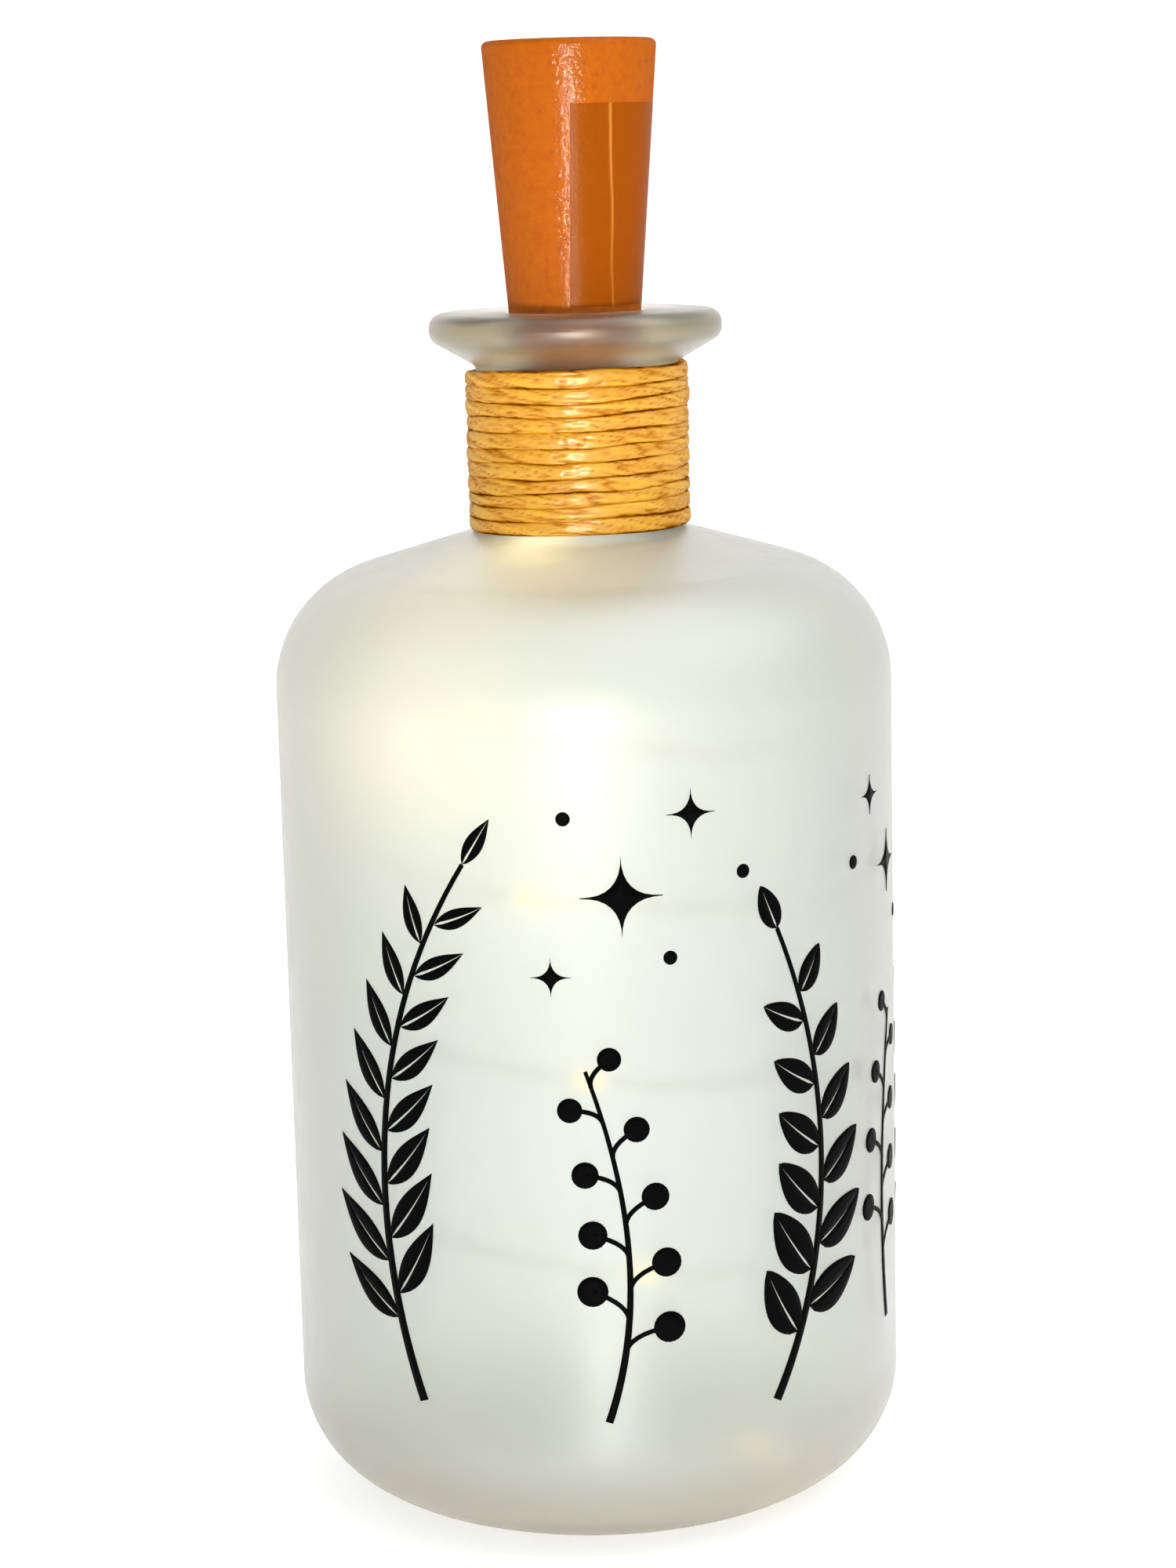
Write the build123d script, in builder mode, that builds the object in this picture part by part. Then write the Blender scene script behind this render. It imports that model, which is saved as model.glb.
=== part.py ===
"""Cork bottle light: a frosted glass bottle, a cork-shaped battery stopper and a string of small LEDs.

Millimetres, +Z up. The origin is the centre of the base, on the surface that the bottle stands on.
"""

import os
from math import ceil, cos, pi, radians, sin, sqrt, tan

from build123d import *

# Button cells, three in a stack with their caps down
cell_count = 3
cell_diameter = 11.6
cell_height = 5.4
cell_edge_round = 0.4
cap_diameter = 9.4
cap_depth = 1.2
cap_rise = 0.25
gasket_thickness = 0.4
cell_clearance = 0.1

# Battery carrier, the core of the stopper
carrier_wall = 0.65
carrier_floor = 1.2
carrier_deck = 1.2
cell_offset = 0.5
cell_window_width = 10.4
column_bore = 9.0
flange_thickness = 1.4
flange_inset = 0.1
flange_round = 0.4

# Contacts and their spring
contact_thickness = 0.3
contact_diameter = 9.0
contact_clearance = 0.1
tab_width = 2.0
positive_tab_offset = 3.4
negative_tab_offset = 2.6
negative_tab_reach = 2.0
tab_end = 0.4
spring_wire = 0.5
spring_turns = 3
spring_height = 4.5
spring_foot_diameter = 9.0
spring_tip_diameter = 3.0

# Circuit board, resistor and slide switch
board_thickness = 1.0
resistor_length = 2.0
resistor_width = 1.25
resistor_height = 0.55
resistor_offset = 3.6
switch_length = 8.6
switch_width = 4.0
switch_height = 3.5
switch_wall = 0.5
switch_headroom = 0.5
switch_travel = 2.0
slider_base_length = 4.4
slider_stem_length = 2.0
slider_stem_width = 1.5
slider_clearance = 0.1
slider_groove_width = 0.25
slider_groove_depth = 0.2
slider_groove_pitch = 0.6
slider_groove_count = 3

# Insulated leads inside the stopper
lead_diameter = 0.6
lead_groove_clearance = 0.1
lead_passage_height = 9.0
lead_spread = 0.7

# Cork-shaped stopper shell
cork_top_diameter = 22.8
cork_length = 50.0
cork_top_wall = 1.6
cork_top_side_wall = 1.4
cork_bottom_wall = 0.8
cork_top_round = 0.8
cork_bottom_round = 0.25
cork_insertion = 14.5
cork_fit_clearance = 0.12
carrier_clearance = 0.15
rib_count = 4
rib_thickness = 1.0
rib_root = 0.2
recess_length = 11.0
recess_width = 6.0
recess_depth = 0.7
slot_clearance = 0.3

# Rubber grommet in the foot of the stopper
grommet_hole = 4.0
grommet_head_diameter = 6.0
grommet_head_thickness = 1.0
grommet_collar_thickness = 1.2
grommet_nose_length = 2.0
grommet_nose_diameter = 4.4
grommet_tip_diameter = 2.2
grommet_clearance = 0.05

# Glass bottle
body_diameter = 82.0
bottle_height = 158.0
glass_wall = 3.0
neck_wall = 4.5
base_thickness = 5.0
base_corner_radius = 14.5
push_up_diameter = 42.0
push_up_depth = 2.5
push_up_round = 1.5
shoulder_slope = 16.4
shoulder_radius = 16.5
neck_height = 28.3
neck_root_radius = 1.0
throat_radius = 6.0
lip_overhang = 6.0
lip_height = 3.4
lip_underside_slope = 30.0
lip_round = 1.9
mouth_round = 0.8

# Paper twine round the neck
twine_diameter = 1.4
twine_gap = 0.44
twine_clearance = 0.05
twine_end_clearance = 0.25
twine_start_angle = 180.0

# Light string
wire_diameter = 0.5
coil_turns = 4.9
coil_start_angle = 353.0
coil_top_drop = 12.2
coil_foot_gap = 0.4
coil_wall_gap = 7.0
coil_top_radius = 9.6
coil_foot_radius = 28.0
coil_growth_turns = 1.0
coil_draw_in_turns = 1.5
coil_sag = 1.25
string_drop = 5.0
lead_last_run = 6.0

# LED drops on the string
led_count = 10
drop_diameter = 2.6
drop_length = 4.4
drop_clearance = 0.15
end_drop_cover = 0.8
chip_length = 1.0
chip_width = 0.6
chip_height = 0.4
chip_clearance = 0.03

# Stopper sizes that follow from the cells
pocket_radius = cell_diameter / 2 + cell_clearance
carrier_radius = pocket_radius + carrier_wall
shell_bore_radius = carrier_radius + carrier_clearance
cork_bottom_radius = shell_bore_radius + cork_bottom_wall
cork_top_radius = cork_top_diameter / 2
cork_spread = (cork_top_radius - cork_bottom_radius) / cork_length

# Bottle sizes that follow from the stopper
mouth_radius = cork_bottom_radius + cork_insertion * cork_spread + cork_fit_clearance
neck_radius = mouth_radius + neck_wall
lip_radius = neck_radius + lip_overhang
body_radius = body_diameter / 2
cavity_radius = body_radius - glass_wall
neck_base_height = bottle_height - neck_height
shoulder_rise = tan(radians(shoulder_slope))
side_corner_height = neck_base_height - (body_radius - neck_radius) * shoulder_rise
slope_drop = glass_wall / cos(radians(shoulder_slope))
cavity_corner_height = neck_base_height - (cavity_radius - neck_radius) * shoulder_rise - slope_drop
throat_height = neck_base_height + (neck_radius - mouth_radius) * shoulder_rise - slope_drop
lip_corner_height = bottle_height - lip_height
lip_underside_rise = tan(radians(lip_underside_slope))
lip_root_height = lip_corner_height - lip_overhang * lip_underside_rise

# Heights in the stopper, from the foot of its shell to its top
cork_base = bottle_height - mouth_round - cork_insertion
cork_top = cork_base + cork_length
ceiling = cork_top - cork_top_wall
recess_floor = cork_top - recess_depth
switch_top = ceiling - switch_headroom
board_top = switch_top - switch_height
deck_top = board_top - board_thickness
pocket_top = deck_top - carrier_deck
stack_top = pocket_top - contact_thickness
stack_foot = stack_top - cell_count * cell_height
pocket_floor = stack_foot - spring_height - contact_thickness
floor_bottom = pocket_floor - carrier_floor
flange_bottom = cork_base - flange_thickness
collar_bottom = flange_bottom - grommet_collar_thickness
grommet_top = cork_base + grommet_head_thickness
string_exit = collar_bottom - grommet_nose_length

# Groove for the lead down the back of the carrier
groove_width = lead_diameter + 2 * lead_groove_clearance
groove_depth = lead_diameter + lead_groove_clearance
back_lead_y = -carrier_radius + groove_depth - lead_diameter / 2
lead_turn_height = floor_bottom - lead_passage_height / 4
negative_tab_foot = floor_bottom - negative_tab_reach


def biarc(start, start_direction, end, end_direction):
    """Two arcs from start to end that share a tangent where they meet, for the line being built."""
    chord = end - start
    both = start_direction + end_direction
    spread = 2 * (1 - start_direction.dot(end_direction))
    along = chord.dot(both)
    reach = (sqrt(along**2 + spread * chord.dot(chord)) - along) / spread
    first_knee = start + start_direction * reach
    second_knee = end - end_direction * reach
    middle = (first_knee + second_knee) * 0.5
    TangentArc(start, middle, tangent=start_direction)
    TangentArc(middle, end, tangent=(second_knee - first_knee).normalized())


def heading(curve, share):
    """Unit direction of a curve, given as a function of 0 to 1, at one share of its length."""
    step = 1e-5
    return (curve(share + step) - curve(share - step)).normalized()


def wind(curve, turns, diameter):
    """Path of a coil: biarcs of a quarter turn, and a straight run of one diameter at each end."""
    count = ceil(4 * turns)
    shares = [i / count for i in range(count + 1)]
    with BuildLine() as path:
        Line(curve(0) - heading(curve, 0) * diameter, curve(0))
        for here, there in zip(shares, shares[1:]):
            biarc(curve(here), heading(curve, here), curve(there), heading(curve, there))
        Line(curve(1), curve(1) + heading(curve, 1) * diameter)
    return path.wire()


def least_gap(curve, turns, diameter):
    """Least clear distance between turns of a coil, measured on points along it."""
    per_turn = 48
    count = ceil(per_turn * turns)
    points = [curve(i / count) for i in range(count + 1)]
    far_apart = per_turn // 2
    distances = []
    for i, point in enumerate(points):
        distances += [(point - other).length for other in points[i + far_apart:]]
    return min(distances) - diameter


def tube(path, diameter):
    """Round tube along a path, as a part of its own."""
    with BuildPart() as piece:
        with BuildSketch(Plane(origin=path @ 0, z_dir=path % 0)):
            Circle(diameter / 2)
        sweep(path=path)
    return piece


def smooth_route(name, points):
    """Path of straight runs joined by arcs as large as the runs allow. Prints the arcs' radii."""
    arc_share = 0.45
    points = [Vector(*point) for point in points]
    radii = []
    for before, corner, after in zip(points, points[1:], points[2:]):
        run_in = corner - before
        run_out = after - corner
        half_turn = radians(run_in.get_angle(run_out)) / 2
        radii.append(arc_share * min(run_in.length, run_out.length) / tan(half_turn))
    print(name, "bend radii:", [round(radius, 1) for radius in radii])
    with BuildLine() as path:
        FilletPolyline(*points, radius=radii)
    return path.wire()


def ease(share):
    """Smooth step from 0 to 1."""
    share = min(max(share, 0), 1)
    return share**2 * (3 - 2 * share)


def twine_turn(share):
    """Point of the twine's centre line, from the root of the neck up to the lip."""
    angle = radians(twine_start_angle) + 2 * pi * twine_turns * share
    height = twine_foot + (twine_head - twine_foot) * share
    return Vector(twine_radius * cos(angle), twine_radius * sin(angle), height)


def spring_turn(share):
    """Point of the conical spring's centre line, from its wide foot up to its tip."""
    angle = 2 * pi * spring_turns * share
    radius = spring_foot_radius + (spring_tip_radius - spring_foot_radius) * share
    height = spring_foot + (spring_tip - spring_foot) * ease(share)
    return Vector(radius * cos(angle), cell_offset + radius * sin(angle), height)


def coil_turn(share):
    """Point of the light string's centre line, from under the neck down to the floor of the bottle."""
    turn = coil_turns * share
    angle = radians(coil_start_angle) + 2 * pi * turn
    growth = (coil_wall_radius - coil_top_radius) * ease(turn / coil_growth_turns)
    draw_in = (coil_wall_radius - coil_foot_radius) * ease(1 - (coil_turns - turn) / coil_draw_in_turns)
    radius = coil_top_radius + growth - draw_in
    height = coil_top + (coil_foot - coil_top) * max(share, 0) ** coil_sag
    return Vector(radius * cos(angle), radius * sin(angle), height)


# Glass: outside, hollow, hollow underside and rounded mouth
with BuildPart() as bottle:
    with BuildSketch(Plane.XZ):
        with BuildLine():
            FilletPolyline(
                (0, 0),
                (body_radius, 0),
                (body_radius, side_corner_height),
                (neck_radius, neck_base_height),
                (neck_radius, lip_root_height),
                (lip_radius, lip_corner_height),
                (lip_radius, bottle_height),
                (0, bottle_height),
                radius=(
                    base_corner_radius,
                    shoulder_radius,
                    neck_root_radius,
                    neck_root_radius,
                    lip_round,
                    lip_round,
                ),
            )
            Line((0, bottle_height), (0, 0))
        make_face()
    revolve(axis=Axis.Z)
    with BuildSketch(Plane.XZ):
        with BuildLine():
            FilletPolyline(
                (0, base_thickness),
                (cavity_radius, base_thickness),
                (cavity_radius, cavity_corner_height),
                (mouth_radius, throat_height),
                (mouth_radius, bottle_height),
                radius=(base_corner_radius - glass_wall, shoulder_radius - glass_wall, throat_radius),
            )
            Polyline((mouth_radius, bottle_height), (0, bottle_height), (0, base_thickness))
        make_face()
    revolve(axis=Axis.Z, mode=Mode.SUBTRACT)
    with BuildSketch(Plane.XZ):
        with BuildLine():
            TangentArc((0, push_up_depth), (push_up_diameter / 2, 0), tangent=(1, 0))
            Polyline((push_up_diameter / 2, 0), (0, 0), (0, push_up_depth))
        make_face()
    revolve(axis=Axis.Z, mode=Mode.SUBTRACT)
    circles = bottle.edges().filter_by(GeomType.CIRCLE)
    fillet(circles.group_by(Axis.Z)[-1].sort_by(SortBy.RADIUS)[0], radius=mouth_round)
    bearing_edges = bottle.edges().filter_by(GeomType.CIRCLE).group_by(Axis.Z)[0]
    fillet(bearing_edges.sort_by(SortBy.RADIUS)[0], radius=push_up_round)

# Twine winding, from the root of the neck up to the underside of the lip
twine_radius = neck_radius + twine_clearance + twine_diameter / 2
twine_foot = neck_base_height + twine_diameter / 2 + twine_end_clearance
twine_head = lip_root_height - twine_diameter / 2 + twine_end_clearance / 2
twine_turns = (twine_head - twine_foot) / (twine_diameter + twine_gap)
twine_path = wind(twine_turn, twine_turns, twine_diameter)
neck_twine = tube(twine_path, twine_diameter)
print("twine turns:", round(twine_turns, 2), "length:", round(twine_path.length))
print("twine least gap:", round(least_gap(twine_turn, twine_turns, twine_diameter), 2))

# Stopper shell: tapered cup, guide ribs for the carrier, finger recess and slot for the switch
shell_top_radius = cork_top_radius - cork_top_side_wall
slot_length = slider_stem_length + switch_travel + 2 * slot_clearance
slot_width = slider_stem_width + 2 * slot_clearance
with BuildPart() as cork_shell:
    with BuildSketch(Plane.XZ):
        with BuildLine():
            FilletPolyline(
                (0, cork_base),
                (cork_bottom_radius, cork_base),
                (cork_top_radius, cork_top),
                (0, cork_top),
                radius=(cork_bottom_round, cork_top_round),
            )
            Line((0, cork_top), (0, cork_base))
        make_face()
    revolve(axis=Axis.Z)
    with BuildSketch(Plane.XZ):
        with BuildLine():
            Polyline(
                (0, cork_base),
                (shell_bore_radius, cork_base),
                (shell_top_radius, ceiling),
                (0, ceiling),
                close=True,
            )
        make_face()
    revolve(axis=Axis.Z, mode=Mode.SUBTRACT)
    for i in range(rib_count):
        with BuildSketch(Plane.XZ.rotated((0, 0, 360 * (i + 0.5) / rib_count))):
            with BuildLine():
                Polyline(
                    (shell_bore_radius, cork_base),
                    (shell_bore_radius, ceiling + rib_root),
                    (shell_top_radius + rib_root, ceiling + rib_root),
                    (shell_bore_radius + rib_root, cork_base),
                    close=True,
                )
            make_face()
        extrude(amount=rib_thickness / 2, both=True)
    with BuildSketch(Plane.XY.offset(recess_floor)):
        SlotOverall(recess_length, recess_width)
    extrude(amount=recess_depth, mode=Mode.SUBTRACT)
    with BuildSketch(Plane.XY.offset(ceiling)):
        Rectangle(slot_length, slot_width)
    extrude(amount=cork_top_wall, mode=Mode.SUBTRACT)

# Battery carrier: flange and column below, open cradle for the cells, deck for the board
with BuildPart() as battery_carrier:
    with BuildSketch(Plane.XY.offset(flange_bottom)):
        Circle(cork_bottom_radius - flange_inset)
    extrude(amount=flange_thickness)
    fillet(battery_carrier.edges().group_by(Axis.Z)[0], radius=flange_round)
    with BuildSketch(Plane.XY.offset(cork_base)):
        Circle(carrier_radius)
    extrude(amount=deck_top - cork_base)
    with BuildSketch(Plane.XY.offset(cork_base)):
        Circle(column_bore / 2)
    extrude(amount=floor_bottom - cork_base, mode=Mode.SUBTRACT)
    with BuildSketch(Plane.XY.offset(flange_bottom)):
        Circle(grommet_hole / 2)
    extrude(amount=flange_thickness, mode=Mode.SUBTRACT)
    with BuildSketch(Plane.XY.offset(pocket_floor)):
        with Locations((0, cell_offset)):
            Circle(pocket_radius)
            Rectangle(cell_window_width, carrier_radius, align=(Align.CENTER, Align.MIN))
    extrude(amount=pocket_top - pocket_floor, mode=Mode.SUBTRACT)
    with BuildSketch(Plane.XY.offset(floor_bottom - lead_passage_height)):
        with Locations((0, -carrier_radius)):
            Rectangle(groove_width, carrier_radius, align=(Align.CENTER, Align.MIN))
    extrude(amount=lead_passage_height, mode=Mode.SUBTRACT)
    with BuildSketch(Plane.XY.offset(floor_bottom)):
        with Locations((0, -carrier_radius)):
            Rectangle(groove_width, groove_depth, align=(Align.CENTER, Align.MIN))
    extrude(amount=deck_top - floor_bottom, mode=Mode.SUBTRACT)
    with BuildSketch(Plane.XY.offset(floor_bottom)):
        with Locations((negative_tab_offset, cell_offset)):
            Rectangle(contact_thickness + 2 * contact_clearance, tab_width + 2 * contact_clearance)
    extrude(amount=carrier_floor, mode=Mode.SUBTRACT)
    with BuildSketch(Plane.XY.offset(pocket_top)):
        with Locations((0, positive_tab_offset)):
            Rectangle(tab_width + 2 * contact_clearance, contact_thickness + 2 * contact_clearance)
    extrude(amount=carrier_deck, mode=Mode.SUBTRACT)

# Button cells: can, gasket and cap, with the flat of the can upwards
cap_radius = cap_diameter / 2
gasket_radius = cap_radius + gasket_thickness
cell_names = ("lower_cell", "middle_cell", "upper_cell")
cell_feet = [stack_foot + i * cell_height for i in range(cell_count)]
cell_cans = []
for foot in cell_feet:
    with BuildPart() as can:
        with BuildSketch(Plane.XY.offset(foot + cap_rise)):
            with Locations((0, cell_offset)):
                Circle(cell_diameter / 2)
        extrude(amount=cell_height - cap_rise)
        fillet(can.edges().group_by(Axis.Z)[0], radius=cell_edge_round)
        fillet(can.edges().group_by(Axis.Z)[-1], radius=cell_edge_round)
        with BuildSketch(Plane.XY.offset(foot + cap_rise)):
            with Locations((0, cell_offset)):
                Circle(gasket_radius)
        extrude(amount=cap_depth - cap_rise, mode=Mode.SUBTRACT)
    cell_cans.append(can)
with BuildPart() as cell_gaskets:
    for foot in cell_feet:
        with BuildSketch(Plane.XY.offset(foot + cap_rise)):
            with Locations((0, cell_offset)):
                Circle(gasket_radius)
                Circle(cap_radius, mode=Mode.SUBTRACT)
        extrude(amount=cap_depth - cap_rise)
with BuildPart() as cell_caps:
    for foot in cell_feet:
        with BuildSketch(Plane.XY.offset(foot)):
            with Locations((0, cell_offset)):
                Circle(cap_radius)
        extrude(amount=cap_depth)

# Positive contact, a plate under the deck with a tab up through the board
with BuildPart() as positive_contact:
    with BuildSketch(Plane.XY.offset(stack_top)):
        with Locations((0, cell_offset)):
            Circle(contact_diameter / 2)
    extrude(amount=contact_thickness)
    with BuildSketch(Plane.XY.offset(stack_top)):
        with Locations((0, positive_tab_offset)):
            Rectangle(tab_width, contact_thickness)
    extrude(amount=board_top + tab_end - stack_top)

# Negative contact, a plate on the pocket's floor with a tab down to its lead
with BuildPart() as negative_contact:
    with BuildSketch(Plane.XY.offset(pocket_floor)):
        with Locations((0, cell_offset)):
            Circle(contact_diameter / 2 + spring_wire / 2)
    extrude(amount=contact_thickness)
    with BuildSketch(Plane.XY.offset(negative_tab_foot)):
        with Locations((negative_tab_offset, cell_offset)):
            Rectangle(contact_thickness, tab_width)
    extrude(amount=pocket_floor + contact_thickness - negative_tab_foot)

# Conical spring between the negative contact and the lower cell
spring_foot_radius = spring_foot_diameter / 2
spring_tip_radius = spring_tip_diameter / 2
spring_foot = pocket_floor + contact_thickness + spring_wire / 2
spring_tip = stack_foot - spring_wire / 2
spring_path = wind(spring_turn, spring_turns, spring_wire)
negative_spring = tube(spring_path, spring_wire)
print("spring least gap:", round(least_gap(spring_turn, spring_turns, spring_wire), 2))

# Circuit board on the deck, slotted for the contact tab, with its resistor
with BuildPart() as circuit_board:
    with BuildSketch(Plane.XY.offset(deck_top)):
        Circle(carrier_radius)
        with Locations((0, positive_tab_offset)):
            Rectangle(
                tab_width + 2 * contact_clearance,
                contact_thickness + 2 * contact_clearance,
                mode=Mode.SUBTRACT,
            )
    extrude(amount=board_thickness)
with BuildPart() as chip_resistor:
    with BuildSketch(Plane.XY.offset(board_top)):
        with Locations((0, -resistor_offset)):
            Rectangle(resistor_length, resistor_width)
    extrude(amount=resistor_height)

# Slide switch: case with a window in its top
slider_base_width = switch_width - 2 * switch_wall - 2 * slider_clearance
slider_base_height = switch_height - 2 * switch_wall - 2 * slider_clearance
slider_room = slider_base_length + switch_travel + 2 * slider_clearance
with BuildPart() as switch_case:
    with BuildSketch(Plane.XY.offset(board_top)):
        Rectangle(switch_length, switch_width)
    extrude(amount=switch_height)
    with BuildSketch(Plane.XY.offset(board_top + switch_wall)):
        Rectangle(slider_room, switch_width - 2 * switch_wall)
    extrude(amount=switch_height - 2 * switch_wall, mode=Mode.SUBTRACT)
    with BuildSketch(Plane.XY.offset(switch_top - switch_wall)):
        Rectangle(
            slider_stem_length + switch_travel + 2 * slider_clearance,
            slider_stem_width + 2 * slider_clearance,
        )
    extrude(amount=switch_wall, mode=Mode.SUBTRACT)

# Slider of the switch at its lit end, with its grip in the recess of the shell
slider_x = switch_travel / 2
slider_foot = board_top + switch_wall + slider_clearance
with BuildPart() as switch_slider:
    with BuildSketch(Plane.XY.offset(slider_foot)):
        with Locations((slider_x, 0)):
            Rectangle(slider_base_length, slider_base_width)
    extrude(amount=slider_base_height)
    with BuildSketch(Plane.XY.offset(slider_foot)):
        with Locations((slider_x, 0)):
            Rectangle(slider_stem_length, slider_stem_width)
    extrude(amount=cork_top - slider_foot)
    with BuildSketch(Plane.XY.offset(cork_top - slider_groove_depth)):
        with Locations((slider_x, 0)):
            with GridLocations(slider_groove_pitch, 0, slider_groove_count, 1):
                Rectangle(slider_groove_width, slider_stem_width)
    extrude(amount=slider_groove_depth, mode=Mode.SUBTRACT)

# Leads from the board and the negative tab down to the grommet
lead_step = (lead_turn_height - grommet_top) / 3
back_route = [
    (0, back_lead_y, deck_top),
    (0, back_lead_y, lead_turn_height),
    (0, -lead_spread, lead_turn_height - lead_step),
    (0, -lead_spread, grommet_top),
]
back_path = smooth_route("positive lead", back_route)
positive_lead = tube(back_path, lead_diameter)
tab_route = [
    (negative_tab_offset, cell_offset, negative_tab_foot),
    (negative_tab_offset, cell_offset, negative_tab_foot - lead_step),
    (0, lead_spread, negative_tab_foot - 2 * lead_step),
    (0, lead_spread, grommet_top),
]
tab_path = smooth_route("negative lead", tab_route)
negative_lead = tube(tab_path, lead_diameter)

# Grommet: head inside the flange, collar and tapered nose outside
with BuildPart() as wire_grommet:
    with BuildSketch(Plane.XZ):
        with BuildLine():
            Polyline(
                (0, string_exit),
                (grommet_tip_diameter / 2, string_exit),
                (grommet_nose_diameter / 2, collar_bottom),
                (grommet_head_diameter / 2, collar_bottom),
                (grommet_head_diameter / 2, flange_bottom),
                (grommet_hole / 2 - grommet_clearance, flange_bottom),
                (grommet_hole / 2 - grommet_clearance, cork_base),
                (grommet_head_diameter / 2, cork_base),
                (grommet_head_diameter / 2, grommet_top),
                (0, grommet_top),
                close=True,
            )
        make_face()
    revolve(axis=Axis.Z)

# Light string: a lead that leaves the neck and swings out, then loose turns down to the floor
coil_wall_radius = cavity_radius - coil_wall_gap
coil_top = throat_height - coil_top_drop
coil_foot = base_thickness + drop_diameter / 2 + coil_foot_gap
coil_start = coil_turn(0) - heading(coil_turn, 0) * wire_diameter
coil_approach = coil_start - heading(coil_turn, 0) * lead_last_run
lead_drop_point = (-3.0, -2.6, throat_height - 0.9)
lead_route = [
    (0, 0, string_exit),
    (0, 0, string_exit - string_drop),
    lead_drop_point,
    (-4.9, -5.2, throat_height - 5.6),
    (-2.2, -8.8, throat_height - 9.4),
    (3.4, -10.4, throat_height - 11.2),
    tuple(coil_approach),
    tuple(coil_start),
]
lead_path = smooth_route("string lead", lead_route)
string_lead = tube(lead_path, wire_diameter)
coil_path = wind(coil_turn, coil_turns, wire_diameter)
string_coil = tube(coil_path, wire_diameter)
print("string length:", round(lead_path.length + coil_path.length))
print("coil least gap:", round(least_gap(coil_turn, coil_turns, wire_diameter), 2))

# LED places: one on the lead, the rest evenly along the coil, the last at the string's end
lead_place = Plane(origin=lead_drop_point, z_dir=Vector(*lead_route[3]) - Vector(*lead_route[1]))
lead_drop_at = string_drop + (Vector(*lead_drop_point) - Vector(*lead_route[1])).length
first_at = lead_drop_at - lead_path.length
last_at = coil_path.length - end_drop_cover
led_pitch = (last_at - first_at) / (led_count - 1)
coil_places = []
for i in range(1, led_count):
    share = (first_at + i * led_pitch) / coil_path.length
    coil_places.append(Plane(origin=coil_path @ share, z_dir=coil_path % share))
print("LED pitch:", round(led_pitch))

# One LED chip and its drop of clear resin round the wire, which runs along Z here
drop_bore_radius = wire_diameter / 2 + drop_clearance
with BuildPart() as chip:
    with BuildSketch(Plane.YZ.offset(drop_bore_radius)):
        Rectangle(chip_width, chip_length)
    extrude(amount=chip_height)
with BuildPart() as drop:
    with BuildSketch(Plane.XZ):
        with BuildLine():
            ThreePointArc(
                (drop_bore_radius, -drop_length / 2),
                (drop_diameter / 2, 0),
                (drop_bore_radius, drop_length / 2),
            )
            Line((drop_bore_radius, drop_length / 2), (drop_bore_radius, -drop_length / 2))
        make_face()
    revolve(axis=Axis.Z)
    with BuildSketch(Plane.YZ):
        Rectangle(chip_width + 2 * chip_clearance, chip_length + 2 * chip_clearance)
    extrude(amount=drop_bore_radius + chip_height + chip_clearance, mode=Mode.SUBTRACT)

# Drops and chips in their places, with the last drop closed over the wire's end
with BuildPart() as lead_drop:
    with Locations(lead_place):
        add(drop.part)
with BuildPart() as lead_chip:
    with Locations(lead_place):
        add(chip.part)
with BuildPart() as led_drops:
    with Locations(*coil_places[:-1]):
        add(drop.part)
with BuildPart() as led_chips:
    with Locations(*coil_places):
        add(chip.part)
with BuildPart() as end_cap:
    with BuildSketch(Plane.XY.offset(end_drop_cover + drop_clearance)):
        Circle(drop_bore_radius)
    extrude(amount=drop_length / 2 - end_drop_cover - drop_clearance)
with BuildPart() as end_drop:
    with Locations(coil_places[-1]):
        add(drop.part)
        add(end_cap.part)

pieces = {
    "bottle": bottle,
    "neck_twine": neck_twine,
    "cork_shell": cork_shell,
    "battery_carrier": battery_carrier,
    "cell_gaskets": cell_gaskets,
    "cell_caps": cell_caps,
    "positive_contact": positive_contact,
    "negative_contact": negative_contact,
    "negative_spring": negative_spring,
    "circuit_board": circuit_board,
    "chip_resistor": chip_resistor,
    "switch_case": switch_case,
    "switch_slider": switch_slider,
    "positive_lead": positive_lead,
    "negative_lead": negative_lead,
    "wire_grommet": wire_grommet,
    "string_lead": string_lead,
    "string_coil": string_coil,
    "lead_drop": lead_drop,
    "lead_chip": lead_chip,
    "led_drops": led_drops,
    "led_chips": led_chips,
    "end_drop": end_drop,
}
pieces.update(zip(cell_names, cell_cans))

os.makedirs("parts", exist_ok=True)
for name, piece in pieces.items():
    piece.part.label = name
    export_step(piece.part, f"parts/{name}.step")
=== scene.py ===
from math import atan2, cos, pi, radians, sin

import bpy
from mathutils import Matrix, Vector, noise


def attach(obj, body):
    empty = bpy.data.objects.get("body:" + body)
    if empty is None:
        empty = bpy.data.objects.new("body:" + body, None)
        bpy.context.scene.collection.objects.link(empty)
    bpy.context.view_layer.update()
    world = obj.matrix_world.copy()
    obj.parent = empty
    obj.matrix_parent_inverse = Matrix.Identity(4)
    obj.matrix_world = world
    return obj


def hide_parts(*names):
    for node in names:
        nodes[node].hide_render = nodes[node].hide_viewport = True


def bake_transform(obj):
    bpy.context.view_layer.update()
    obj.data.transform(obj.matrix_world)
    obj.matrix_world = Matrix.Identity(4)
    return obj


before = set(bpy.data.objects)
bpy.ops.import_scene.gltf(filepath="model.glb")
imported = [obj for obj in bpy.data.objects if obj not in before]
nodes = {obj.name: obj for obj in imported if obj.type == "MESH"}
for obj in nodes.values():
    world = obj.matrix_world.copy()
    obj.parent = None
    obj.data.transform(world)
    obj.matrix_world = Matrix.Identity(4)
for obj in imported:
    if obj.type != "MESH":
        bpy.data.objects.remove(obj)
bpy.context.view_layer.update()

scene = bpy.context.scene

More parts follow.
